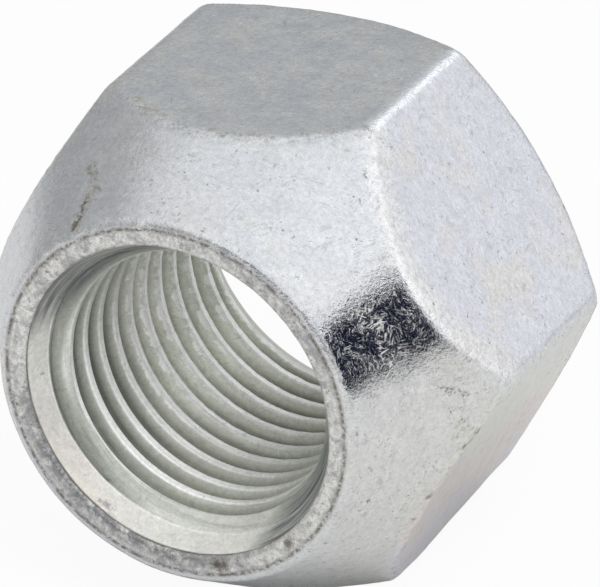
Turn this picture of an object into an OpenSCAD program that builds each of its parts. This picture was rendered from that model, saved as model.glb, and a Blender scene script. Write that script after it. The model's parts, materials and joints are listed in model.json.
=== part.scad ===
// Open-end lug nut with a conical seat, made in one piece from zinc plated steel.
// It lies on one of its six flats. The thread axis runs along Y through the origin, which is
// the middle of the nut: the conical seat and its rim face -Y, and the back face looks to +Y.

/* [Hexagon] */
// Distance between two opposite flats
across_flats = 20.64; // [19:0.02:25]
// Length along the thread axis, from the rim to the back face
nut_length = 15.88; // [13:0.02:30]
// Radius of the six long corners of the hexagon
corner_radius = 0.8; // [0.2:0.1:2]

/* [Conical seat] */
// Included angle of the conical seat
seat_angle = 60; // [50:1:90]
// Diameter at which the seat would meet the plane of the rim
seat_small_d = 16.06; // [15.6:0.02:17.5]
// Radius between the rim and the seat
rim_radius = 0.6; // [0.1:0.05:0.8]

/* [Back face] */
// Diameter of the flat back face, inside the chamfer on the corners
back_face_d = 20.6; // [16:0.1:21]
// Angle of the corner chamfer, measured from the back face
back_chamfer_angle = 38; // [15:1:50]
// Radius between the back face and the corner chamfer
back_edge_radius = 0.4; // [0.1:0.1:1]

/* [Threaded hole] */
// Minor diameter of the thread, which is the wall of the hole
thread_minor_d = 11.6; // [9:0.02:12.5]
// Diameter of the lead-in at the rim, before its edge is rounded
front_mouth_d = 14; // [13.6:0.1:14.4]
// Depth of the lead-in at the rim, to where the steeper start of the thread begins
front_mouth_depth = 1.16; // [0.4:0.02:1.4]
// Included angle of the lead-in at the rim
front_mouth_angle = 50; // [40:1:60]
// Included angle of the start of the thread
thread_start_angle = 90; // [60:1:120]
// Diameter of the lead-in at the back face, before its edge is rounded
back_mouth_d = 14; // [13:0.1:15]
// Included angle of the lead-in at the back face
back_mouth_angle = 60; // [45:1:120]
// Radius on the edges of both lead-ins
mouth_edge_radius = 0.25; // [0.05:0.05:0.4]

/* [Hidden] */

$fn = 96;
// Straight steps in which a rounded edge of the section is drawn
arc_steps = 6;

sharp_corner_r = across_flats / sqrt(3);
corner_centre_r = (across_flats - 2 * corner_radius) / sqrt(3);

thread_minor_r = thread_minor_d / 2;
front_mouth_r = front_mouth_d / 2;
back_mouth_r = back_mouth_d / 2;
seat_small_r = seat_small_d / 2;
back_face_r = back_face_d / 2;

thread_start_r = front_mouth_r - front_mouth_depth * tan(front_mouth_angle / 2);
thread_start_depth = (thread_start_r - thread_minor_r) / tan(thread_start_angle / 2);
back_mouth_depth = (back_mouth_r - thread_minor_r) / tan(back_mouth_angle / 2);

// The turned outline passes just outside the hexagon's corners, so that the hexagon trims it
turned_r = sharp_corner_r;
seat_depth = (turned_r - seat_small_r) / tan(seat_angle / 2);
back_chamfer_depth = (turned_r - back_face_r) * tan(back_chamfer_angle);

function unit(v) = v / norm(v);

// Points of the arc that rounds the corner between two straight edges, tangent to both
function round_corner(before, corner, after, radius) =
    let (
        to_before = unit(before - corner),
        to_after = unit(after - corner),
        half_angle = acos(to_before * to_after) / 2,
        centre = corner + unit(to_before + to_after) * radius / sin(half_angle),
        first = corner + to_before * radius / tan(half_angle) - centre,
        last = corner + to_after * radius / tan(half_angle) - centre,
        sweep = 180 - 2 * half_angle
    )
    [for (i = [0 : arc_steps])
        centre + (sin(sweep * (1 - i / arc_steps)) * first + sin(sweep * i / arc_steps) * last) / sin(sweep)];

// Half section of the turned nut: radius across, distance from the rim upwards
module turned_section() {
    front_hole_end = [thread_minor_r, front_mouth_depth + thread_start_depth];
    thread_start = [thread_start_r, front_mouth_depth];
    front_mouth = [front_mouth_r, 0];
    rim_edge = [seat_small_r, 0];
    seat_end = [turned_r, seat_depth];
    chamfer_start = [turned_r, nut_length - back_chamfer_depth];
    back_edge = [back_face_r, nut_length];
    back_mouth = [back_mouth_r, nut_length];
    back_hole_end = [thread_minor_r, nut_length - back_mouth_depth];
    polygon([
        front_hole_end,
        thread_start,
        each round_corner(thread_start, front_mouth, rim_edge, mouth_edge_radius),
        each round_corner(front_mouth, rim_edge, seat_end, rim_radius),
        seat_end,
        chamfer_start,
        each round_corner(chamfer_start, back_edge, back_mouth, back_edge_radius),
        each round_corner(back_edge, back_mouth, back_hole_end, mouth_edge_radius),
        back_hole_end
    ]);
}

// Hexagon with rounded corners, one flat facing down
module rounded_hexagon() {
    circle(r = corner_centre_r, $fn = 6);
    for (side = [0 : 5]) {
        rotate(60 * side) translate([corner_centre_r, 0]) circle(r = corner_radius);
        rotate(60 * side + 30)
            translate([0, -corner_centre_r / 2])
                square([across_flats / 2, corner_centre_r]);
    }
}

module lug_nut() {
    color("#b9bdc4")
        rotate([-90, 0, 0])
            translate([0, 0, -nut_length / 2])
                intersection() {
                    linear_extrude(height = nut_length) rounded_hexagon();
                    rotate_extrude() turned_section();
                }
}

lug_nut();
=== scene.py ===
"""A zinc plated lug nut on a white sheet. The nut's mesh, its plating and the studio are made here."""

import json
import math

import bpy
import numpy as np
from mathutils import Matrix, Vector


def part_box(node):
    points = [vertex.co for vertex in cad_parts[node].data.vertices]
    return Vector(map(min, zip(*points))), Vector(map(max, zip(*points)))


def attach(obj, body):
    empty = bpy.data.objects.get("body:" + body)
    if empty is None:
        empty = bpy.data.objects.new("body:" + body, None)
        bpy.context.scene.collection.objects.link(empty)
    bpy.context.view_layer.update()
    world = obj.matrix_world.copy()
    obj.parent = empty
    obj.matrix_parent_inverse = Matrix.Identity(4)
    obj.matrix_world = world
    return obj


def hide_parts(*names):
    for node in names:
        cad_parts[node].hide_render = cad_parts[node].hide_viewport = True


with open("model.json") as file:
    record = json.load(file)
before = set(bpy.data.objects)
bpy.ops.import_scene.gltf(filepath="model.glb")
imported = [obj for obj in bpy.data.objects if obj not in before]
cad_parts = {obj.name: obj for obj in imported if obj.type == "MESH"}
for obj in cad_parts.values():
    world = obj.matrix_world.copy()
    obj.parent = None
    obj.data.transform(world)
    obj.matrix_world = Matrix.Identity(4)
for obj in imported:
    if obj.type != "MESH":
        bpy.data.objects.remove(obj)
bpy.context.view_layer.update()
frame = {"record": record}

MM = 0.001
NODE = "lug_nut"

# Sizes of the nut in millimetres. s is the distance from the rim along the thread axis.
low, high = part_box(NODE)
ACROSS_FLATS = (high.z - low.z) / MM
LENGTH = (high.y - low.y) / MM
THREAD_MOUNT = next(m for m in frame["record"]["mounts"] if m["name"] == "thread")
MINOR_R = THREAD_MOUNT["dims"]["r_mm"]
MAJOR_R = 6.42
PITCH = 1.27
CREST_FLAT = 0.30
ROOT_FLAT = 0.14
THREAD_START = 0.05
SEAT_SMALL_R = 8.03
SEAT_HALF = math.radians(30)
MOUTH_R = 7.0
FRONT_MOUTH_HALF = math.radians(25)
FRONT_MOUTH_DEPTH = 1.16
START_HALF = math.radians(45)
BACK_MOUTH_HALF = math.radians(30)
BACK_FACE_R = 10.3
BACK_CHAMFER = math.radians(38)

# How far each rounded edge reaches, as the blend width of two distance fields
HEX_BLEND = 0.43
SEAT_BLEND = 0.18
RIM_BLEND = 0.32
MOUTH_BLEND = 0.19
BACK_BLEND = 0.16
CHAMFER_BLEND = 0.20
THREAD_BLEND = 0.04

# The lower right corner of the hexagon is sharp at the seat and worn round towards the back
WORN_CORNER = math.radians(-60)
WORN_FOCUS = 8
WORN_FROM, WORN_TO = 9.0, 14.5
WORN_FIRST, WORN_LAST = 0.10, 2.4

# A small burr stands on the outer edge of the rim: angle in degrees, radius, size and height
BURR_DEGREES, BURR_R, BURR_SIZE, BURR_HEIGHT = 98.4, 7.82, 0.22, 0.08

# Unevenness of the surface: height and wavelength in millimetres, random seed and number of waves
DENTS = (0.010, 4.5, 1, 18)
RIPPLE = (0.0035, 1.3, 2, 18)
RIM_CHIPS = (0.008, 0.7, 3, 30)
EDGE_CHIPS = (0.009, 0.5, 4, 30)
CREST_TEARS = (0.012, 0.35, 5, 40)
RAGGED_SCUFF = (0.14, 0.5, 6, 30)

# The rim's rough look fades out between these radii
RIM_FADE_R = (7.85, 7.62)
# How much of the thread's painted root shade the lead-ins take, on a scale from the thread's crest at 0 to
# its root at 1
LEAD_IN_ROOT = 0.15

# The outer skin ends inside both lead-ins, where the threaded wall begins
SKIN_FIRST = FRONT_MOUTH_DEPTH
SKIN_LAST = LENGTH - 0.9
STITCH = 0.05
AROUND = 384
AROUND_BORE = AROUND // 2

# The skin is found by halving, along rays from a point inside the half section: its radius and s
SECTION_CENTRE = (8.2, 8.0)
RAY_LENGTH = 12.0
HALVINGS = 40


def smooth_max(a, b, width):
    """The larger of two distances, rounded where they are closer than width, and how rounded it is."""
    h = np.maximum(width - np.abs(a - b), 0) / width
    return np.maximum(a, b) + h * h * width / 4, h


def uneven(points, kind):
    """A smooth random height at each point, of one of the kinds above."""
    height, wavelength, seed, count = kind
    rng = np.random.default_rng(seed)
    direction = rng.normal(size=(count, 3))
    direction /= np.linalg.norm(direction, axis=1)[:, None]
    step = 2 * math.pi / (wavelength * rng.uniform(0.7, 1.5, count))
    phase = rng.uniform(0, 2 * math.pi, count)
    return height * np.sin(points @ (direction * step[:, None]).T + phase).sum(1) / math.sqrt(count)


def between(value, low, high):
    """How far a value has gone from low to high, between 0 and 1."""
    return np.clip((value - low) / (high - low), 0, 1)


def front_cone(s):
    """Radius of the lead-in at the rim."""
    return MOUTH_R - s * math.tan(FRONT_MOUTH_HALF)


def start_cone(s):
    """Radius of the steeper cone at which the thread starts."""
    return front_cone(FRONT_MOUTH_DEPTH) - (s - FRONT_MOUTH_DEPTH) * math.tan(START_HALF)


def back_cone(s):
    """Radius of the lead-in at the back face."""
    return MOUTH_R - (LENGTH - s) * math.tan(BACK_MOUTH_HALF)


def nut_distance(radius, angle, s):
    """Signed distance to the nut without its threaded wall, nearness to any edge and to the seat's edge."""
    turn = np.mod(angle, math.pi / 3) - math.pi / 6
    flat = radius * np.cos(turn) - ACROSS_FLATS / 2
    next_flat = radius * np.cos(math.pi / 3 - np.abs(turn)) - ACROSS_FLATS / 2
    worn = np.clip(WORN_FOCUS * np.cos(angle - WORN_CORNER) - (WORN_FOCUS - 1), 0, 1)
    worn_blend = WORN_FIRST + (WORN_LAST - WORN_FIRST) * between(s, WORN_FROM, WORN_TO)
    hexagon, corner = smooth_max(flat, next_flat, HEX_BLEND + (worn_blend - HEX_BLEND) * worn)
    seat = (radius - SEAT_SMALL_R - s * math.tan(SEAT_HALF)) * math.cos(SEAT_HALF)
    chamfer = ((radius - BACK_FACE_R) * math.tan(BACK_CHAMFER) + s - LENGTH) * math.cos(BACK_CHAMFER)
    side, seat_edge = smooth_max(hexagon, seat, SEAT_BLEND)
    side, chamfer_edge = smooth_max(side, chamfer, CHAMFER_BLEND)
    body, rim_edge = smooth_max(side, -s, RIM_BLEND)
    body, back_edge = smooth_max(body, s - LENGTH, BACK_BLEND)
    front_mouth = (front_cone(s) - radius) * math.cos(FRONT_MOUTH_HALF)
    back_mouth = (back_cone(s) - radius) * math.cos(BACK_MOUTH_HALF)
    body, _ = smooth_max(body, front_mouth, MOUTH_BLEND)
    body, _ = smooth_max(body, back_mouth, MOUTH_BLEND)
    hex_edge = corner * (hexagon > seat - SEAT_BLEND)
    edge = np.maximum.reduce([hex_edge, seat_edge, chamfer_edge, rim_edge, back_edge])
    return body, edge, seat_edge


def place(radius, angle, s):
    """Points in the part's frame, in millimetres."""
    return np.stack([radius * np.cos(angle), s - LENGTH / 2, radius * np.sin(angle)], axis=-1)


def outer_point(degrees, s):
    """The point of the nut's outside at an angle round the axis and a distance from the rim."""
    angle = math.radians(degrees)
    near, far = 8.0, 12.5
    for _ in range(HALVINGS):
        middle = (near + far) / 2
        inside = nut_distance(np.array(middle), np.array(angle), np.array(s))[0] < 0
        near, far = (middle, far) if inside else (near, middle)
    return place(near, angle, s)


def rim_point(degrees, radius):
    return place(radius, math.radians(degrees), 0.0)


def sink_point(degrees, s):
    return place(front_cone(s), math.radians(degrees), s)


def bore_point(degrees, s):
    return place(MINOR_R, math.radians(degrees), s)


# Scuffs on the seat: angle in degrees and s of both ends, and half the width
SCUFFS = [
    (29.0, 2.0, 22.7, 2.21, 0.45), (22.7, 2.21, 15.0, 2.05, 0.50),
]


def scuffed(points):
    """How scuffed the nut is at each point."""
    ragged = uneven(points, RAGGED_SCUFF)
    total = np.zeros(len(points))
    for degrees, along, end_degrees, end_along, size in SCUFFS:
        first = outer_point(degrees, along)
        run = outer_point(end_degrees, end_along) - first
        reach = np.clip((points - first) @ run / (run @ run), 0, 1)
        away = np.linalg.norm(points - first - reach[:, None] * run, axis=1) + ragged
        total = np.maximum(total, between(away, size, 0.3 * size))
    return total


def skin_directions():
    """Angles, in the half section, of the rays on which the skin's points are found."""
    # Radius and s of the places where the spacing changes, and the number of rings up to each
    stops = [
        (front_cone(SKIN_FIRST), SKIN_FIRST, 0),
        (MOUTH_R, 0, 14),
        (SEAT_SMALL_R, 0, 18),
        (SEAT_SMALL_R + 0.35, 0.6, 12),
        (10.1, 3.6, 18),
        (11.6, 7.4, 36),
        (11.75, 14.0, 18),
        (10.5, LENGTH, 36),
        (9.9, LENGTH, 8),
        (MOUTH_R + 0.3, LENGTH, 6),
        (MOUTH_R, LENGTH, 6),
        (back_cone(SKIN_LAST), SKIN_LAST, 8),
    ]
    aims = [math.atan2(s - SECTION_CENTRE[1], r - SECTION_CENTRE[0]) for r, s, _ in stops]
    angles = [aims[0]]
    for k in range(1, len(stops)):
        count = stops[k][2]
        angles += [aims[k - 1] + (aims[k] - aims[k - 1]) * (i + 1) / count for i in range(count)]
    return np.array(angles)


def skin_grid():
    """The outer skin as a grid of rings: radius, angle and s of each point, and its nearness to edges."""
    angle = np.arange(AROUND) * 2 * math.pi / AROUND
    aim, angle = np.meshgrid(skin_directions(), angle, indexing="ij")
    near, far = np.zeros_like(aim), np.full_like(aim, RAY_LENGTH)
    for _ in range(HALVINGS):
        middle = (near + far) / 2
        radius = SECTION_CENTRE[0] + middle * np.cos(aim)
        s = SECTION_CENTRE[1] + middle * np.sin(aim)
        inside = nut_distance(radius, angle, s)[0] < 0
        near = np.where(inside, middle, near)
        far = np.where(inside, far, middle)
    radius = SECTION_CENTRE[0] + near * np.cos(aim)
    s = SECTION_CENTRE[1] + near * np.sin(aim)
    _, edge, seam = nut_distance(radius, angle, s)
    return radius, angle, s, edge, seam


def skin_normals(radius, angle, s):
    """Outward normals of the skin, from the slope of its distance field."""
    step = 1e-3

    def slope(outward, round_axis, along_axis):
        ahead = nut_distance(radius + outward, angle + round_axis, s + along_axis)[0]
        behind = nut_distance(radius - outward, angle - round_axis, s - along_axis)[0]
        return (ahead - behind) / (2 * step)

    across = slope(step, 0, 0)
    around = slope(0, step, 0) / radius
    along = slope(0, 0, step)
    c, d = np.cos(angle), np.sin(angle)
    normal = np.stack([across * c - around * d, along, across * d + around * c], axis=-1)
    return normal / np.linalg.norm(normal, axis=-1)[..., None]


def thread_profile():
    """Share of a turn and radius of each row of the thread, from crest to crest."""
    depth = MAJOR_R - MINOR_R
    flank = (PITCH - CREST_FLAT - ROOT_FLAT) / 2
    half = CREST_FLAT / 2
    soft = 0.04
    # Distance from the middle of the crest, and share of the thread's depth
    falling = [(half - soft, 0.0), (half, 0.03), (half + flank * 0.35, 0.35), (half + flank * 0.7, 0.7),
               (half + flank, 0.97)]
    rising = [(PITCH - along, share) for along, share in reversed(falling)]
    stations = [(0.0, 0.0)] + falling + [(PITCH / 2, 1.0)] + rising
    return [(along / PITCH, MINOR_R + depth * share) for along, share in stations]


def thread_grid():
    """The threaded wall as a sheared grid whose rows follow the helix: radius, angle, s and open ends."""
    profile = thread_profile()
    turns = range(-1, int(LENGTH / PITCH) + 3)
    along = np.array([(t + share) * PITCH + THREAD_START for t in turns for share, _ in profile])
    wall = np.array([radius for _ in turns for _, radius in profile])
    angle = np.arange(AROUND_BORE) * 2 * math.pi / AROUND_BORE
    s = along[:, None] - PITCH * angle[None, :] / (2 * math.pi)
    angle = np.broadcast_to(angle[None, :], s.shape)
    first, last = SKIN_FIRST + STITCH, SKIN_LAST - STITCH
    end = np.where(s <= first, -1, np.where(s >= last, 1, 0))
    s = np.clip(s, first, last)
    mouth = np.maximum(start_cone(s), back_cone(s))
    radius, _ = smooth_max(np.broadcast_to(wall[:, None], s.shape), mouth, THREAD_BLEND)
    return radius, angle, s, end, len(profile)


def helix_place(angle, s):
    """Distance along the axis that is the same all along one turn of the thread."""
    return s + PITCH * angle / (2 * math.pi)


class MeshParts:
    """Points, faces and named values of the growing mesh."""

    def __init__(self):
        self.points, self.faces, self.values, self.count = [], [], {}, 0

    def add_points(self, points, **values):
        first = self.count
        self.points.append(points)
        self.count += len(points)
        for name, value in values.items():
            self.values.setdefault(name, []).append(np.broadcast_to(value, (len(points),)))
        return first

    def object(self, name):
        mesh = bpy.data.meshes.new(name)
        mesh.from_pydata((np.concatenate(self.points) * MM).tolist(), [], self.faces)
        for key, chunks in self.values.items():
            attribute = mesh.attributes.new(key, "FLOAT", "POINT")
            attribute.data.foreach_set("value", np.concatenate(chunks).astype(np.float32))
        mesh.update()
        mesh.shade_smooth()
        piece = bpy.data.objects.new(name, mesh)
        bpy.context.scene.collection.objects.link(piece)
        return piece


def skin_relief(points, radius, s, edge):
    """Height of the dents, chips and burr at each point of the skin. The lead-ins stay smooth."""
    rim = (between(s, 0.30, 0.12) * between(radius, *RIM_FADE_R)).reshape(-1)
    relief = uneven(points, DENTS) + uneven(points, RIPPLE)
    relief += rim * uneven(points, RIM_CHIPS)
    relief += edge * uneven(points, EDGE_CHIPS)
    relief *= between(radius, 6.6, 7.05).reshape(-1)
    from_burr = np.linalg.norm(points - rim_point(BURR_DEGREES, BURR_R), axis=1)
    return relief + BURR_HEIGHT * np.exp(-(from_burr / BURR_SIZE) ** 2)


def add_skin(parts):
    """The outside of the nut, both faces and the upper part of both lead-ins."""
    radius, angle, s, edge, seam = skin_grid()
    rings = radius.shape[0]
    bore = between(back_cone(s) - radius, -0.08, 0.0) * between(radius, MOUTH_R + 0.05, MOUTH_R - 0.02)
    values = {"edge": edge, "seam": seam, "bore": bore, "root": LEAD_IN_ROOT * bore}
    values["lay"] = helix_place(angle, s)
    values = {name: value.reshape(-1) for name, value in values.items()}
    points = place(radius, angle, s).reshape(-1, 3)
    values["scuff"] = scuffed(points)
    normals = skin_normals(radius, angle, s).reshape(-1, 3)
    relief = skin_relief(points, radius, s, values["edge"])
    first = parts.add_points(points + normals * relief[:, None], **values, fleck=0.0)
    for j in range(rings - 1):
        row, above = first + j * AROUND, first + (j + 1) * AROUND
        for i in range(AROUND):
            k = (i + 1) % AROUND
            parts.faces.append((row + i, above + i, above + k, row + k))
    return first, rings


def thread_faces(parts, index, per_turn):
    """Faces between the rows of the threaded wall. Points that share an index make smaller faces."""
    for j in range(index.shape[0] - 1):
        for i in range(AROUND_BORE):
            k = (i + 1) % AROUND_BORE
            shift = per_turn if k == 0 else 0
            if j - shift < 0:
                continue
            corners = (index[j, i], index[j - shift, k], index[j + 1 - shift, k], index[j + 1, i])
            kept = [c for n, c in enumerate(corners) if c != corners[n - 1]]
            if len(set(kept)) >= 3:
                parts.faces.append(tuple(int(c) for c in kept))


def add_thread(parts):
    """The threaded wall between its two end loops, whose first points are returned."""
    radius, angle, s, end, per_turn = thread_grid()
    mouth = np.maximum(start_cone(s), back_cone(s))
    depth = np.clip((radius - np.maximum(mouth, MINOR_R)) / (MAJOR_R - MINOR_R), 0, 1)
    start = between(start_cone(s) - radius, -0.06, 0.0)
    torn = between(s, 5.0, 8.0) * (1 - start)
    flat_points = place(radius, angle, s).reshape(-1, 3)
    tear = torn * between(depth, 0.25, 0.0) * uneven(flat_points, CREST_TEARS).reshape(s.shape)
    radius = radius - tear
    index = np.zeros(radius.shape, int)
    bore_angle = np.arange(AROUND_BORE) * 2 * math.pi / AROUND_BORE
    loops = {}
    plain = {"edge": 0.0, "seam": 0.0, "scuff": 0.0}
    for side, at, loop_r in ((-1, SKIN_FIRST + STITCH, start_cone(SKIN_FIRST + STITCH)),
                             (1, SKIN_LAST - STITCH, back_cone(SKIN_LAST - STITCH))):
        loop = place(np.full(AROUND_BORE, loop_r), bore_angle, np.full(AROUND_BORE, at))
        loops[side] = parts.add_points(loop, **plain, bore=1.0, root=LEAD_IN_ROOT, fleck=0.0,
                                       lay=helix_place(bore_angle, at))
        index = np.where(end == side, loops[side] + np.arange(AROUND_BORE)[None, :], index)
    inner = end == 0
    wall = place(radius, angle, s)[inner]
    root = np.maximum(depth, LEAD_IN_ROOT * between(mouth - radius, -0.06, 0.0))
    # far in the crests are torn, and the thread's colours there take painted light from the back opening
    first = parts.add_points(wall, **plain, bore=1.0, root=root[inner], fleck=torn[inner],
                             lay=helix_place(angle, s)[inner])
    index[inner] = first + np.arange(inner.sum())
    thread_faces(parts, index, per_turn)
    return loops


def join_loops(parts, skin, rings, loops):
    """Close the seam between the skin's end rings and the thread's end loops, two edges to one."""
    for ring, side in ((0, -1), (rings - 1, 1)):
        outer, loop = skin + ring * AROUND, loops[side]
        for j in range(AROUND_BORE):
            a, b, c = outer + 2 * j, outer + 2 * j + 1, outer + (2 * j + 2) % AROUND
            p, q = loop + j, loop + (j + 1) % AROUND_BORE
            for triangle in ((a, b, p), (b, q, p), (b, c, q)):
                parts.faces.append(triangle if side < 0 else triangle[::-1])


def build_nut():
    parts = MeshParts()
    skin, rings = add_skin(parts)
    loops = add_thread(parts)
    join_loops(parts, skin, rings, loops)
    return parts.object("lug_nut_plated")


class Graph:
    """A short way to write a material's nodes. Values are numbers, colours or sockets."""

    number_results = ("DISTANCE", "DOT_PRODUCT", "LENGTH")

    def __init__(self, tree):
        self.tree = tree

    def feed(self, made, key, value):
        """Link a socket to one input of a node, or set a constant on it."""
        if isinstance(value, bpy.types.NodeSocket):
            self.tree.links.new(value, made.inputs[key])
        else:
            made.inputs[key].default_value = value

    def node(self, kind, inputs=(), **settings):
        made = self.tree.nodes.new(kind)
        for key, value in settings.items():
            setattr(made, key, value)
        for key, value in dict(inputs).items():
            self.feed(made, key, value)
        return made

    def math(self, operation, a, b=0.0, c=0.0, clamp=False):
        inputs = {0: a, 1: b, 2: c}
        return self.node("ShaderNodeMath", inputs, operation=operation, use_clamp=clamp).outputs[0]

    def chain(self, operation, first, others):
        for other in others:
            first = self.math(operation, first, other)
        return first

    def times(self, first, *others):
        return self.chain("MULTIPLY", first, others)

    def plus(self, first, *others):
        return self.chain("ADD", first, others)

    def most(self, first, *others):
        """The largest of the values."""
        return self.chain("MAXIMUM", first, others)

    def vector(self, operation, a, b=None, scale=None):
        inputs = {0: a, 1: b, "Scale": scale}
        given = {key: value for key, value in inputs.items() if value is not None}
        made = self.node("ShaderNodeVectorMath", given, operation=operation)
        return made.outputs["Value" if operation in self.number_results else "Vector"]

    def noise(self, vector, scale, detail=2.0, roughness=0.5, distortion=0.0):
        inputs = {"Vector": vector, "Scale": scale, "Detail": detail, "Roughness": roughness,
                  "Distortion": distortion}
        return self.node("ShaderNodeTexNoise", inputs).outputs["Fac"]

    def ramp(self, value, low, high, to_low=0.0, to_high=1.0):
        inputs = {"Value": value, "From Min": low, "From Max": high, "To Min": to_low, "To Max": to_high}
        return self.node("ShaderNodeMapRange", inputs).outputs["Result"]

    def mix(self, factor, a, b):
        factor_input, a_input, b_input, colour_output = 0, 6, 7, 2
        mixed = self.node("ShaderNodeMix", data_type="RGBA")
        for key, value in ((factor_input, factor), (a_input, a), (b_input, b)):
            self.feed(mixed, key, value)
        return mixed.outputs[colour_output]

    def attribute(self, name):
        return self.node("ShaderNodeAttribute", attribute_name=name).outputs["Fac"]

    def colours(self, value, stops):
        made = self.node("ShaderNodeValToRGB", {"Fac": value})
        elements = made.color_ramp.elements
        while len(elements) < len(stops):
            elements.new(0.5)
        for element, (at, colour) in zip(elements, stops):
            element.position = at
            element.color = (*colour, 1)
        return made.outputs["Color"]


def new_material(name):
    material = bpy.data.materials.new(name)
    material.use_nodes = True
    material.node_tree.nodes.clear()
    return material, Graph(material.node_tree)


# Marks seen in the photo: the kind of place, angle round the axis in degrees, distance from the rim or, on
# the rim, radius, then the size of the mark in millimetres and how strong it is. DIRT is dark brown, STAINS
# are olive, SLATE_SHADE_SPOTS is grey painted shade on the lead-in and WHITE is bare metal on the burr.
PLACES = {"outer": outer_point, "rim": rim_point, "sink": sink_point, "bore": bore_point}
DIRT = [
    ("outer", -9.0, 5.36, 0.22, 0.8), ("outer", -11.8, 4.80, 0.22, 0.8), ("outer", -24.7, 3.90, 0.22, 0.8),
    ("outer", -32.0, 3.71, 0.20, 0.7), ("outer", -17.0, 4.4, 0.14, 0.5), ("outer", 4.0, 4.15, 0.14, 0.4),
    ("rim", -78.0, 7.25, 0.42, 1.0), ("rim", -75.5, 7.3, 0.34, 0.9), ("rim", -47.5, 7.25, 0.36, 0.9),
    ("rim", 112.5, 7.75, 0.12, 0.7), ("rim", 107.0, 7.75, 0.12, 0.7), ("sink", 183.3, 0.86, 0.10, 0.8),
    ("outer", 72.8, 12.3, 0.08, 0.8), ("outer", 66.8, 10.8, 0.08, 0.8), ("outer", 65.5, 15.0, 0.26, 0.6),
    ("outer", 74.5, 3.73, 0.16, 0.5), ("outer", 71.6, 3.65, 0.14, 0.45), ("outer", 78.6, 4.75, 0.12, 0.4),
    ("outer", 67.8, 5.7, 0.14, 0.4), ("outer", 19.4, 15.6, 0.16, 0.8), ("bore", -83.7, 9.5, 0.12, 0.7),
    ("bore", -79.5, 9.4, 0.12, 0.7), ("bore", -104.0, 12.4, 0.12, 0.5), ("bore", -88.5, 10.8, 0.10, 0.5),
]
STAINS = [
    ("outer", 107.0, 4.96, 0.60, 0.45), ("outer", 112.0, 5.6, 0.45, 0.35), ("outer", 73.2, 3.85, 0.36, 0.25),
    ("outer", 61.0, 5.55, 0.36, 0.25), ("outer", -6.0, 4.6, 0.6, 0.4), ("rim", 148.0, 7.72, 0.34, 0.5),
    ("rim", 140.0, 7.74, 0.40, 0.6), ("rim", 132.0, 7.74, 0.36, 0.6), ("rim", -60.0, 7.7, 0.32, 0.5),
]
# Grey painted shade on the lead-in at the lower left
SLATE_SHADE_SPOTS = [
    ("sink", -126.0, 0.44, 0.16, 0.9), ("sink", -123.5, 0.47, 0.26, 0.9), ("sink", -121.0, 0.44, 0.14, 0.7),
]
WHITE = [("rim", 98.4, 7.78, 0.34, 1.0), ("rim", 95.5, 7.86, 0.24, 0.9)]

# Long marks: the kind of place, angle and distance of both ends, half the width and the strength
DIRT_STREAKS = [
    ("outer", 122.0, 0.18, 119.6, 1.25, 0.28, 1.0), ("outer", 5.4, 3.73, 0.9, 4.90, 0.12, 0.9),
    ("outer", 103.2, 8.99, 98.8, 9.33, 0.06, 0.5), ("outer", 116.1, 8.92, 114.0, 9.2, 0.06, 0.5),
    ("outer", 113.0, 0.40, 106.0, 0.50, 0.08, 0.5),
]
STAIN_STREAKS = [
    ("outer", 121.8, 0.25, 118.8, 1.55, 0.36, 0.8), ("outer", 120.5, 2.98, 115.6, 1.75, 0.36, 0.7),
]

# Colours of the plating outside
ZINC_BLUE = (0.755, 0.785, 0.825, 1)
ZINC_GREY = (0.79, 0.80, 0.825, 1)
ZINC_CREAM = (0.84, 0.825, 0.775, 1)
ZINC_COOL = (0.765, 0.785, 0.80, 1)
LOW_CREAM = (0.825, 0.825, 0.785, 1)
TOP_BLUE = (0.735, 0.775, 0.82, 1)
TOP_GREY = (0.775, 0.785, 0.79, 1)
LAVENDER = (0.81, 0.825, 0.90, 1)
LAVENDER_CREAM = (0.845, 0.83, 0.81, 1)
# The film of colours on the low right and upper left flats, from high to low
FILM = (
    (0.0, (0.80, 0.82, 0.80)), (0.25, (0.82, 0.83, 0.75)), (0.42, (0.86, 0.79, 0.78)),
    (0.58, (0.90, 0.83, 0.77)), (0.75, (0.88, 0.86, 0.92)), (1.0, (0.86, 0.89, 0.93)),
)

# Colours of the thread, near the rim and far in, of the lead-in and of the rim. The roots hold painted shade,
# the flanks and roots far in are lighter as painted light from the back opening, and the lit crest is a
# painted highlight.
NEAR_ROOT_SHADE, FAR_ROOT_SHADE, LOW_ROOT_SHADE = (0.14, 0.15, 0.125, 1), (0.62, 0.64, 0.56, 1), (0.30, 0.31, 0.265, 1)
NEAR_FLANK, FAR_FLANK = (0.54, 0.555, 0.505, 1), (0.78, 0.80, 0.73, 1)
PLAIN_CREST, CREST_HIGHLIGHT = (0.68, 0.695, 0.65, 1), (0.97, 0.975, 0.97, 1)
TURNING_LINE = (0.30, 0.31, 0.28, 1)
START_SHADOW = (0.16, 0.17, 0.14, 1)
LEAD_IN_WARM, LEAD_IN_COOL = (0.73, 0.715, 0.69, 1), (0.745, 0.75, 0.71, 1)
LEAD_IN_PEACH = (0.72, 0.64, 0.57, 1)
RIM_GREY, RIM_CREAM = (0.56, 0.555, 0.565, 1), (0.90, 0.895, 0.87, 1)

# Colours of wear, stains, dirt and painted shade
BARE_METAL = (0.94, 0.94, 0.925, 1)
OLIVE_STAIN = (0.42, 0.385, 0.28, 1)
# painted shade in grey, on the rim and lead-in at the lower left and on the rim at the upper right
SLATE_SHADE = (0.30, 0.30, 0.315, 1)
# painted shade, near black, for the lead-in and the first turn at the top and the right
LEAD_IN_SHADE = (0.09, 0.105, 0.11, 1)
BROWN_DIRT = (0.11, 0.095, 0.075, 1)


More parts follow.
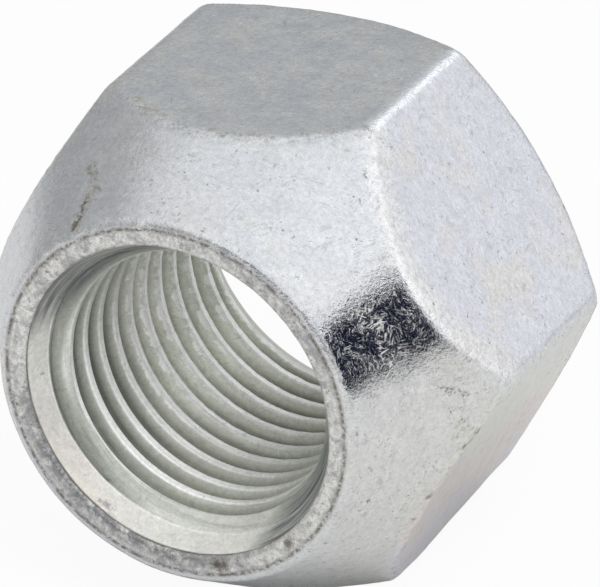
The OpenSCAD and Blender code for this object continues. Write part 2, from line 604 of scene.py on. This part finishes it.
def strokes(g, mm, cell_scale, thin, long):
    """Hair-like strokes: stretched noise that is turned another way in each cell."""
    most_turn = 6.28
    cells = g.node("ShaderNodeTexVoronoi", {"Vector": mm, "Scale": cell_scale}).outputs["Color"]
    turn = g.vector("SCALE", cells, scale=most_turn)
    turned = g.node("ShaderNodeVectorRotate", {"Vector": mm, "Rotation": turn}, rotation_type="EULER_XYZ")
    drawn = g.node("ShaderNodeMapping", {"Vector": turned.outputs[0], "Scale": (thin, long, long)})
    return g.noise(drawn.outputs[0], 1.0, 2.0, 0.5, 0.9)


def ragged_place(g, mm):
    """Coordinates that are bent a little, so that marks get ragged outlines."""
    most_bend = 0.75
    ragged = g.node("ShaderNodeTexNoise", {"Vector": mm, "Scale": 5.0, "Detail": 4.0, "Roughness": 0.75})
    shift = g.vector("SUBTRACT", ragged.outputs["Color"], (0.5, 0.5, 0.5))
    return g.vector("ADD", mm, g.vector("SCALE", shift, scale=most_bend))


def mark_place(kind, degrees, along):
    return tuple(float(v) for v in PLACES[kind](degrees, along))


def mark_mask(g, away, size, strength):
    """A mark that is strong at its middle and fades out at its edge."""
    return g.ramp(away, size, size * 0.3, 0.0, strength)


def spots(g, bent, marks):
    """A mask of all the round marks of a list."""
    masks = []
    for kind, degrees, along, size, strength in marks:
        away = g.vector("DISTANCE", bent, mark_place(kind, degrees, along))
        masks.append(mark_mask(g, away, size, strength))
    return g.most(*masks)


def streaks(g, bent, marks):
    """A mask of all the marks of a list that run from one place to another."""
    masks = []
    for kind, degrees, along, end_degrees, end_along, size, strength in marks:
        first = Vector(mark_place(kind, degrees, along))
        run = Vector(mark_place(kind, end_degrees, end_along)) - first
        out = g.vector("SUBTRACT", bent, first)
        reach = g.vector("DOT_PRODUCT", out, run / run.length_squared)
        reach = g.math("ADD", reach, 0.0, clamp=True)
        away = g.vector("DISTANCE", out, g.vector("SCALE", run, scale=reach))
        masks.append(mark_mask(g, away, size, strength))
    return g.most(*masks)


def shaded(g, colour, shade):
    return g.vector("SCALE", colour, scale=shade)


def stretched(g, mm, rotation, scale):
    """Noise that is drawn out into streaks."""
    drawn = g.node("ShaderNodeMapping", {"Vector": mm, "Rotation": rotation, "Scale": scale})
    return g.noise(drawn.outputs[0], 1.0, 3.0, 0.6)


def along_turns(g, mm, lay, around, across):
    """Coordinates for noise that follows the thread: its steps per millimetre around and across."""
    parts = g.node("ShaderNodeSeparateXYZ", {0: mm}).outputs
    x, z = g.times(parts["X"], around), g.times(parts["Z"], around)
    return g.node("ShaderNodeCombineXYZ", {0: g.times(lay, across), 1: x, 2: z}).outputs[0]


def toward(g, mm, degrees):
    """How far out a point lies in one direction across the axis."""
    angle = math.radians(degrees)
    return g.vector("DOT_PRODUCT", mm, (math.cos(angle), 0.0, math.sin(angle)))


def flat_side(g, mm, degrees):
    """A mask for the flat that faces one way."""
    return g.ramp(toward(g, mm, degrees), ACROSS_FLATS / 2 - 0.30, ACROSS_FLATS / 2 - 0.05)


def near_value(g, value, at, reach, core):
    """A mask round one value: 1 within core of it and 0 beyond reach."""
    return g.ramp(g.math("ABSOLUTE", g.math("SUBTRACT", value, at)), reach, core)


def rim_masks(g, mm, radius, s):
    """Masks of the rim, its lip and line of dirt, the lead-in behind it and the painted shade on both."""
    lip_r, line_r = front_cone(MOUTH_BLEND), 7.72
    inside_lip = g.ramp(radius, lip_r + 0.01, lip_r - 0.01)
    sink = g.times(inside_lip, g.ramp(s, FRONT_MOUTH_DEPTH + 0.04, FRONT_MOUTH_DEPTH - 0.02))
    mouth = g.times(inside_lip, g.ramp(s, 2.1, 1.7))
    front = g.ramp(s, 0.34, 0.20)
    rim = g.times(front, g.ramp(radius, *RIM_FADE_R), g.ramp(sink, 1.0, 0.0))
    # painted shade on the lead-in and the first turn, at the top and at the right
    dark_top = g.ramp(toward(g, mm, 128), 5.1, 6.0, 0.0, 0.85)
    dark_right = g.ramp(toward(g, mm, -30), 5.4, 6.1, 0.0, 0.95)
    # painted shade on the rim, towards the lower left and the upper right
    grey_low_left = g.times(g.ramp(toward(g, mm, -122), 3.5, 6.2), g.ramp(radius, 7.62, 7.15, 0.25, 1.0))
    grey_upper_right = g.ramp(toward(g, mm, 42), 5.6, 7.0, 0.0, 0.35)
    return {
        "rim": rim,
        "sink": sink,
        "lip": g.times(near_value(g, radius, lip_r, 0.035, 0.01), front),
        "lip_low": g.ramp(toward(g, mm, -125), -2.0, 3.5),
        "line": g.times(near_value(g, radius, line_r, 0.16, 0.03), front),
        "lead_in_shade": g.times(mouth, g.most(dark_top, dark_right)),
        "rim_shade": g.times(rim, g.most(grey_low_left, grey_upper_right)),
        "peach": g.ramp(toward(g, mm, -140), 6.0, 6.7, 0.0, 0.35),
    }


def flat_masks(g, mm, radius, s):
    """Masks of the flats, of the ends where the seat cuts two of them and of the cream side."""
    seat = g.math("SUBTRACT", radius, g.math("MULTIPLY_ADD", s, math.tan(SEAT_HALF), SEAT_SMALL_R))
    top, right = flat_side(g, mm, 90), flat_side(g, mm, 30)
    return {
        "top": top,
        "right": right,
        "low": flat_side(g, mm, -30),
        "left": flat_side(g, mm, 150),
        "top_end": g.times(top, near_value(g, seat, -0.12, 0.55, 0.05)),
        "worn_end": g.times(right, g.ramp(seat, -0.95, -0.35)),
        "cream": g.ramp(toward(g, mm, -25), 4.0, 9.0, 0.0, 0.7),
    }


def thread_masks(g, mm, s):
    """Masks of the sides of the hole and of the shadow at the first turn."""
    return {
        "upper_left": g.ramp(toward(g, mm, 160), 0.5, 4.0),
        "low_left": g.ramp(toward(g, mm, -135), 2.0, 5.0),
        "low_side": g.ramp(toward(g, mm, -75), 3.0, 5.6),
        "start_dark": g.times(g.ramp(s, 1.22, 1.85, 0.95, 0.0), g.ramp(toward(g, mm, 207), 4.4, 6.0)),
    }


def nut_masks(g, mm):
    """All the masks by name, with the distance from the rim and the height."""
    parts = g.node("ShaderNodeSeparateXYZ", {0: mm}).outputs
    s = g.plus(parts["Y"], LENGTH / 2)
    radius = g.vector("LENGTH", g.vector("MULTIPLY", mm, (1, 0, 1)))
    masks = {"depth": s, "height": parts["Z"]}
    masks.update(rim_masks(g, mm, radius, s))
    masks.update(flat_masks(g, mm, radius, s))
    masks.update(thread_masks(g, mm, s))
    return masks


def zinc_noises(g, mm, lay):
    """The random fields that the plating's colour, bumps and gloss share."""
    return {
        "cloud": g.noise(mm, 0.20, 3.0, 0.6),
        "tint": g.noise(mm, 0.33, 3.0, 0.6, 0.5),
        "patch": g.noise(mm, 0.9, 3.0, 0.6),
        "blotch": g.noise(mm, 1.5, 3.0, 0.55, 1.2),
        "grain": g.noise(mm, 4.5, 3.0, 0.65),
        "dust": g.noise(mm, 12.0, 2.0, 0.6),
        "flakes": g.noise(mm, 6.0, 4.0, 0.75),
        "pits": g.noise(mm, 3.8, 4.0, 0.75),
        "lines": g.noise(along_turns(g, mm, lay, 0.22, 5.5), 1.0, 3.0, 0.7),
        "streak": stretched(g, mm, (0, 0, math.radians(-29)), (0.35, 1.6, 1.6)),
        "hair": strokes(g, mm, 1.7, 15.0, 2.4),
        "nick": strokes(g, mm, 0.7, 11.0, 1.3),
        "flecks": g.noise(along_turns(g, mm, lay, 1.5, 0.7), 1.0, 3.0, 0.65),
        "smudge": g.noise(mm, 2.0, 5.0, 0.8),
    }


def plating_colour(g, n, masks):
    """Pale blue-grey zinc that drifts to cream and to lavender, with the tints of the flats."""
    colour = g.mix(g.ramp(n["cloud"], 0.38, 0.62), ZINC_BLUE, ZINC_GREY)
    colour = g.mix(g.ramp(n["tint"], 0.56, 0.76, 0.0, 0.7), colour, ZINC_CREAM)
    colour = g.mix(g.ramp(n["tint"], 0.45, 0.25, 0.0, 0.6), colour, ZINC_COOL)
    colour = g.mix(masks["cream"], colour, LOW_CREAM)
    blue_grey = g.mix(g.ramp(n["patch"], 0.36, 0.64), TOP_BLUE, TOP_GREY)
    colour = g.mix(masks["top"], colour, blue_grey)
    lavender = g.mix(g.ramp(n["tint"], 0.50, 0.66, 0.0, 0.8), LAVENDER, LAVENDER_CREAM)
    colour = g.mix(masks["right"], colour, lavender)
    drift = g.math("MULTIPLY_ADD", n["tint"], 8.0, masks["height"])
    film = g.colours(g.ramp(drift, 4.0, -7.0), FILM)
    return g.mix(g.most(masks["low"], masks["left"]), colour, film)


def thread_colour(g, n, masks, root, fleck):
    """Greenish flanks with painted shade at the roots and painted light far in, and a painted highlight on
    the crests at the lower left and on the torn ones far in.
    """
    # painted shade at the roots: near black near the rim, grey on the lower side of the hole, light far in
    root_shade = g.mix(fleck, NEAR_ROOT_SHADE, FAR_ROOT_SHADE)
    root_shade = g.mix(masks["low_side"], root_shade, LOW_ROOT_SHADE)
    # the flanks far in are lighter, as painted light from the back opening
    flank = g.mix(fleck, NEAR_FLANK, FAR_FLANK)
    colour = g.mix(g.ramp(root, 0.06, 0.62), flank, root_shade)
    near = g.ramp(masks["depth"], 1.8, 4.0, 1.0, 0.2)
    lines = g.times(near, g.ramp(n["lines"], 0.54, 0.44, 0.0, 0.7))
    colour = g.mix(lines, colour, TURNING_LINE)
    colour = g.mix(masks["start_dark"], colour, START_SHADOW)
    far_left = g.times(fleck, masks["upper_left"])
    torn = g.times(far_left, g.ramp(n["flecks"], 0.40, 0.60, 0.12, -0.26))
    crest = g.ramp(g.plus(root, torn), 0.17, 0.05)
    crest = g.times(crest, g.ramp(masks["start_dark"], 0.0, 0.5, 1.0, 0.0))
    # painted highlight: white on the crests at the lower left and on the torn crests far in
    white = g.mix(g.most(far_left, masks["low_left"]), PLAIN_CREST, CREST_HIGHLIGHT)
    return g.mix(crest, colour, white)


def lead_in_colour(g, n, masks):
    """Pale turned metal with a peach tint at the lower left."""
    colour = g.mix(g.ramp(n["tint"], 0.4, 0.6), LEAD_IN_WARM, LEAD_IN_COOL)
    return g.mix(masks["peach"], colour, LEAD_IN_PEACH)


def rim_colour(g, n):
    """Matt zinc in cream white and grey-purple patches."""
    colour = g.mix(g.ramp(n["blotch"], 0.36, 0.56), RIM_GREY, RIM_CREAM)
    return shaded(g, colour, g.ramp(n["flakes"], 0.34, 0.66, 0.77, 1.13))


def zinc_wear(g, n, masks, bent, edge, scuff):
    """Bare metal: on edges, at the right flat's front end, in the scuffs and on the burr."""
    edges = g.times(edge, g.ramp(n["flakes"], 0.46, 0.60, 0.0, 0.3))
    worn_end = g.times(masks["worn_end"], g.ramp(n["grain"], 0.36, 0.56, 0.2, 0.9))
    scuffs = g.times(scuff, g.ramp(n["hair"], 0.48, 0.60, 0.0, 0.8))
    return g.most(edges, worn_end, scuffs, spots(g, bent, WHITE))


def zinc_shade(g, n):
    """Small changes of lightness all over the plating."""
    grain = g.ramp(n["grain"], 0.25, 0.75, 0.87, 1.13)
    dust = g.ramp(n["dust"], 0.25, 0.75, 0.91, 1.09)
    patch = g.ramp(n["patch"], 0.25, 0.75, 0.95, 1.05)
    streak = g.ramp(n["streak"], 0.3, 0.7, 0.97, 1.03)
    nick = g.ramp(n["nick"], 0.39, 0.30, 1.0, 0.84)
    hair = g.ramp(n["hair"], 0.60, 0.72, 1.0, 1.14)
    return g.times(grain, dust, patch, streak, nick, hair)


def stained_and_shaded(g, n, masks, bent, colour):
    """A colour with the olive stains, and the grey and near black painted shade of the rim and lead-in, laid
    over it.
    """
    olive = g.most(spots(g, bent, STAINS), streaks(g, bent, STAIN_STREAKS))
    olive = g.times(olive, g.ramp(n["pits"], 0.44, 0.56))
    colour = g.mix(olive, colour, OLIVE_STAIN)
    # grey painted shade: spots on the lead-in and patches on the rim
    slate = g.times(masks["rim_shade"], g.ramp(n["smudge"], 0.42, 0.54, 0.15, 0.95))
    colour = g.mix(g.most(spots(g, bent, SLATE_SHADE_SPOTS), slate), colour, SLATE_SHADE)
    # painted shade, streaked along the turns, on the lead-in at the top and the right
    shadowed = g.times(masks["lead_in_shade"], g.ramp(n["lines"], 0.40, 0.58, 0.4, 1.0))
    return g.mix(shadowed, colour, LEAD_IN_SHADE)


def zinc_dirt(g, n, masks, bent, seam, inner):
    """Dark dirt: the marks, specks, smudges, lines on the rim and its lip, and the flats' front ends."""
    outside = g.ramp(inner, 0.0, 1.0, 1.0, 0.0)
    specks = g.times(g.ramp(n["pits"], 0.60, 0.67, 0.0, 0.8), g.ramp(n["patch"], 0.42, 0.56), outside)
    smudges = g.times(g.ramp(n["smudge"], 0.58, 0.68, 0.0, 0.42), outside)
    lined = g.times(masks["line"], g.ramp(n["flakes"], 0.39, 0.55, 0.0, 0.9))
    lip = g.times(masks["lip"], masks["lip_low"], g.ramp(n["patch"], 0.3, 0.5, 0.4, 0.85))
    ends = g.most(g.times(masks["low"], 0.6), masks["left"])
    seamed = g.times(g.ramp(seam, 0.1, 0.6), ends, g.ramp(n["patch"], 0.45, 0.60))
    seamed = g.times(g.most(seamed, masks["top_end"]), g.ramp(n["smudge"], 0.45, 0.60, 0.0, 0.75))
    ragged = g.times(streaks(g, bent, DIRT_STREAKS), g.ramp(n["pits"], 0.40, 0.50))
    return g.most(spots(g, bent, DIRT), ragged, specks, smudges, lined, lip, seamed)


def zinc_height(g, n, masks, edge, scuff, bore, inner):
    """Scratches, grain, battered edges and the turning lines in the hole, in hundredths of a millimetre."""
    flats = g.most(masks["top"], masks["right"])
    ridges = g.plus(g.ramp(n["hair"], 0.57, 0.69, 0.0, 0.36), g.ramp(n["nick"], 0.61, 0.71, 0.0, 0.35))
    ridges = g.times(ridges, g.ramp(scuff, 0.0, 1.0, 1.0, 2.6))
    ridges = g.times(ridges, g.ramp(n["patch"], 0.40, 0.58, 0.35, 1.2))
    ridges = g.times(ridges, g.ramp(flats, 0.0, 1.0, 1.0, 0.5))
    height = g.plus(ridges, g.times(n["dust"], 0.5), g.times(n["grain"], 1.1))
    height = g.plus(height, g.times(masks["rim"], n["grain"], 2.0), g.times(edge, n["grain"], 2.4))
    height = g.times(height, g.ramp(inner, 0.0, 1.0, 1.0, 0.25))
    return g.plus(height, g.times(bore, n["lines"], 0.35))


def zinc_material():
    """The plating of the whole nut, outside and in the hole."""
    material, g = new_material("zinc_plate")
    coords = g.node("ShaderNodeTexCoord").outputs["Object"]
    mm = g.vector("SCALE", coords, scale=1 / MM)
    names = ("edge", "seam", "scuff", "bore", "root", "fleck", "lay")
    edge, seam, scuff, bore, root, fleck, lay = (g.attribute(name) for name in names)
    n = zinc_noises(g, mm, lay)
    masks = nut_masks(g, mm)
    bent = ragged_place(g, mm)
    inner = g.most(bore, masks["sink"])

    colour = plating_colour(g, n, masks)
    colour = g.mix(bore, colour, thread_colour(g, n, masks, root, fleck))
    colour = g.mix(masks["sink"], colour, lead_in_colour(g, n, masks))
    colour = g.mix(masks["rim"], colour, rim_colour(g, n))
    wear = zinc_wear(g, n, masks, bent, edge, scuff)
    colour = g.mix(wear, colour, BARE_METAL)
    colour = shaded(g, colour, zinc_shade(g, n))
    colour = stained_and_shaded(g, n, masks, bent, colour)
    dirt = zinc_dirt(g, n, masks, bent, seam, inner)
    colour = g.mix(dirt, colour, BROWN_DIRT)

    height = zinc_height(g, n, masks, edge, scuff, bore, inner)
    bump = g.node("ShaderNodeBump", {"Height": height, "Distance": 0.01 * MM, "Strength": 1.0})
    rough = g.ramp(n["patch"], 0.3, 0.7, 0.09, 0.17)
    for mask, more in ((masks["rim"], 0.25), (inner, 0.22), (wear, 0.15), (dirt, 0.4)):
        rough = g.math("MULTIPLY_ADD", mask, more, rough)
    metal = g.ramp(dirt, 0.0, 1.0, 1.0, 0.2)
    for mask in (bore, masks["sink"]):
        metal = g.times(metal, g.ramp(mask, 0.0, 1.0, 1.0, 0.25))
    shader = g.node("ShaderNodeBsdfPrincipled", {
        "Base Color": colour, "Metallic": metal, "Roughness": rough, "Normal": bump.outputs["Normal"]})
    g.node("ShaderNodeOutputMaterial", {"Surface": shader.outputs[0]})
    return material


def paper_material():
    """A white sheet that keeps shadows. Camera rays see it whiter than the metal does."""
    material, g = new_material("paper")
    path = g.node("ShaderNodeLightPath").outputs
    by_metal = g.most(path["Is Glossy Ray"], path["Is Transmission Ray"])
    lift = g.most(g.times(path["Is Camera Ray"], 0.94), g.times(by_metal, 0.04))
    matt = g.node("ShaderNodeBsdfDiffuse", {"Color": (0.58, 0.58, 0.58, 1)}).outputs[0]
    glow = g.node("ShaderNodeEmission", {"Color": (1, 1, 1, 1), "Strength": 1.0}).outputs[0]
    mixed = g.node("ShaderNodeMixShader", {0: lift, 1: matt, 2: glow})
    g.node("ShaderNodeOutputMaterial", {"Surface": mixed.outputs[0]})
    return material


def matt_material(name, colour):
    material, g = new_material(name)
    matt = g.node("ShaderNodeBsdfDiffuse", {"Color": colour}).outputs[0]
    g.node("ShaderNodeOutputMaterial", {"Surface": matt})
    return material


def stage_plane(name, corners, material):
    mesh = bpy.data.meshes.new(name)
    mesh.from_pydata([Vector(c) * MM for c in corners], [], [(0, 1, 2, 3)])
    plane = bpy.data.objects.new(name, mesh)
    plane.data.materials.append(material)
    bpy.context.scene.collection.objects.link(plane)
    return plane


def direction(azimuth, elevation):
    """A unit vector: azimuth counts from +X towards +Y, in degrees."""
    a, e = math.radians(azimuth), math.radians(elevation)
    return Vector((math.cos(a) * math.cos(e), math.sin(a) * math.cos(e), math.sin(e)))


def add_lamp(name, azimuth, elevation, width, height, radiance, mirrored=True):
    """A soft box half a metre away. Its width and height are angles in degrees."""
    distance = 0.5
    lamp = bpy.data.lights.new(name, "AREA")
    lamp.shape = "RECTANGLE"
    lamp.size = 2 * distance * math.tan(math.radians(width / 2))
    lamp.size_y = 2 * distance * math.tan(math.radians(height / 2))
    lamp.energy = math.pi * lamp.size * lamp.size_y * radiance
    box = bpy.data.objects.new(name, lamp)
    aim = direction(azimuth, elevation)
    box.location = aim * distance
    box.rotation_mode = "QUATERNION"
    box.rotation_quaternion = aim.to_track_quat("Z", "Y")
    box.visible_glossy = mirrored
    bpy.context.scene.collection.objects.link(box)


def front_card(floor):
    """A grey screen that stands in an arc on the camera's side."""
    radius, top, steps = 400, 105, 14
    first_degrees, arc_degrees = -115, 70
    turn = [math.radians(first_degrees + arc_degrees * i / steps) for i in range(steps + 1)]
    foot = [(radius * math.cos(a), radius * math.sin(a), floor) for a in turn]
    points = foot + [(x, y, top) for x, y, _ in foot]
    mesh = bpy.data.meshes.new("front_card")
    faces = [(i, i + 1, i + steps + 2, i + steps + 1) for i in range(steps)]
    mesh.from_pydata([Vector(p) * MM for p in points], [], faces)
    card = bpy.data.objects.new("front_card", mesh)
    card.data.materials.append(matt_material("grey_card", (0.25, 0.26, 0.27, 1)))
    card.visible_camera = False
    bpy.context.scene.collection.objects.link(card)


def level_corners(x_low, y_low, x_high, y_high, z):
    return [(x_low, y_low, z), (x_high, y_low, z), (x_high, y_high, z), (x_low, y_high, z)]


def build_stage():
    """A white sheet on a grey table, a navy card at the right and a grey screen in front."""
    floor = low.z / MM - 0.01
    table_top = floor - 1
    side, front, table = 130, 400, 2500
    stage_plane("white_sheet", level_corners(-side, -front, side, side, floor), paper_material())
    table_corners = level_corners(-table, -table, table, table, table_top)
    stage_plane("grey_table", table_corners, matt_material("table", (0.5, 0.5, 0.5, 1)))
    near, far, top = -90, 0, 65
    card_corners = [(side, near, floor), (side, far, floor), (side, far, top), (side, near, top)]
    card = stage_plane("dark_card", card_corners, matt_material("navy_card", (0.010, 0.014, 0.042, 1)))
    card.visible_camera = False
    front_card(floor)


def build_world():
    """A grey sky that is brightest above and to the right."""
    world = bpy.data.worlds.new("studio")
    bpy.context.scene.world = world
    world.use_nodes = True
    world.node_tree.nodes.clear()
    g = Graph(world.node_tree)
    ray = g.node("ShaderNodeTexCoord").outputs["Generated"]
    brightest = Vector((0.68, -0.15, 0.72)).normalized()
    facing = g.vector("DOT_PRODUCT", ray, brightest)
    levels = ((0.0, 0.38), (0.25, 0.42), (0.45, 0.48), (0.55, 0.70), (0.7, 0.84), (0.9, 0.89), (1.0, 1.0))
    sky = g.colours(g.ramp(facing, -1.0, 1.0), [(at, (level, level, level)) for at, level in levels])
    back = g.node("ShaderNodeBackground", {"Color": sky, "Strength": 1.0})
    g.node("ShaderNodeOutputWorld", {"Surface": back.outputs[0]})


def build_lamps():
    """Two soft boxes that the metal mirrors, and two that only light matt surfaces."""
    add_lamp("upper_box", 75, 38, 28, 18, 0.5)
    add_lamp("side_box", 25, 20, 30, 18, 0.25)
    add_lamp("key_box", -40, 56, 25, 25, 7.6, mirrored=False)
    add_lamp("fill_box", -66, 25, 25, 25, 4.5, mirrored=False)


def build_camera():
    """The photo's camera, from a fit of the nut to the picture. Angles are in degrees, lengths in mm."""
    azimuth, elevation, roll = (math.radians(d) for d in (29.09, 27.09, -3.14))
    distance, to_right, to_up = 470.8, 1.365, 1.05
    back = Vector((math.sin(azimuth) * math.cos(elevation), -math.cos(azimuth) * math.cos(elevation),
                   math.sin(elevation)))
    right = Vector((math.cos(azimuth), math.sin(azimuth), 0))
    up = back.cross(right)
    right, up = right * math.cos(roll) + up * math.sin(roll), up * math.cos(roll) - right * math.sin(roll)
    data = bpy.data.cameras.new("camera")
    data.sensor_width = 36.0
    data.lens = 692.0
    data.clip_start, data.clip_end = 0.01, 10.0
    camera = bpy.data.objects.new("camera", data)
    bpy.context.scene.collection.objects.link(camera)
    place_at = (back * distance + right * to_right + up * to_up) * MM
    turn = Matrix((right, up, back)).transposed()
    camera.matrix_world = Matrix.Translation(place_at) @ turn.to_4x4()
    bpy.context.scene.camera = camera


nut = build_nut()
nut.data.materials.append(zinc_material())
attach(nut, "root")
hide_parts(NODE)
build_stage()
build_world()
build_lamps()
build_camera()
bpy.context.scene.view_settings.view_transform = "Standard"
